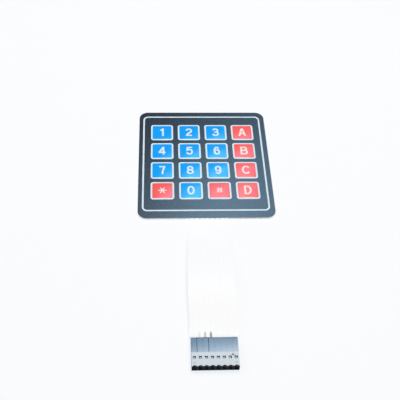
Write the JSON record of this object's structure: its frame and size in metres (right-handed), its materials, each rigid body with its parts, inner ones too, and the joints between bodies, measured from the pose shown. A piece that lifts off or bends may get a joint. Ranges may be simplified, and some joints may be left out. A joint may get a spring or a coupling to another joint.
{
  "type": "matrix keypad",
  "caption": "Thin membrane matrix keypad with printed keys, a flat film tail and a row of crimped sockets for header pins.",
  "frame": {"origin": "centre of the keypad's rear face, on the surface it rests on or is stuck to", "axes": "+X across the keypad to the right, +Y towards the top row of keys and away from the tail, +Z out of the face"},
  "size_m": [0.069, 0.1605, 0.0055],
  "materials": {
    "overlay": "fine textured satin film",
    "white_print": "satin print",
    "blue_print": "satin print",
    "red_print": "satin print",
    "circuit_film": "glossy milky polyester film",
    "spacer_film": "matt film with adhesive on both sides",
    "silver_ink": "satin conductive ink",
    "adhesive": "tacky transfer adhesive",
    "liner_paper": "smooth siliconised paper",
    "housing_plastic": "glossy moulded nylon",
    "contact_metal": "plated spring strip"
  },
  "bodies": {
    "root": {"release_liner": "liner_paper", "rear_adhesive": "adhesive", "lower_circuit_film": "circuit_film", "column_tracks": "silver_ink", "circuit_spacer": "spacer_film", "row_tracks": "silver_ink", "upper_circuit_film": "circuit_film", "overlay_adhesive": "adhesive", "overlay_film": "overlay", "border_line": "white_print", "key_frames": "white_print", "blue_key_fields": "blue_print", "red_key_fields": "red_print", "socket_housing": "housing_plastic", "contact_1": "contact_metal", "contact_2": "contact_metal", "contact_3": "contact_metal", "contact_4": "contact_metal", "contact_5": "contact_metal", "contact_6": "contact_metal", "contact_7": "contact_metal", "contact_8": "contact_metal"}
  },
  "joints": []
}
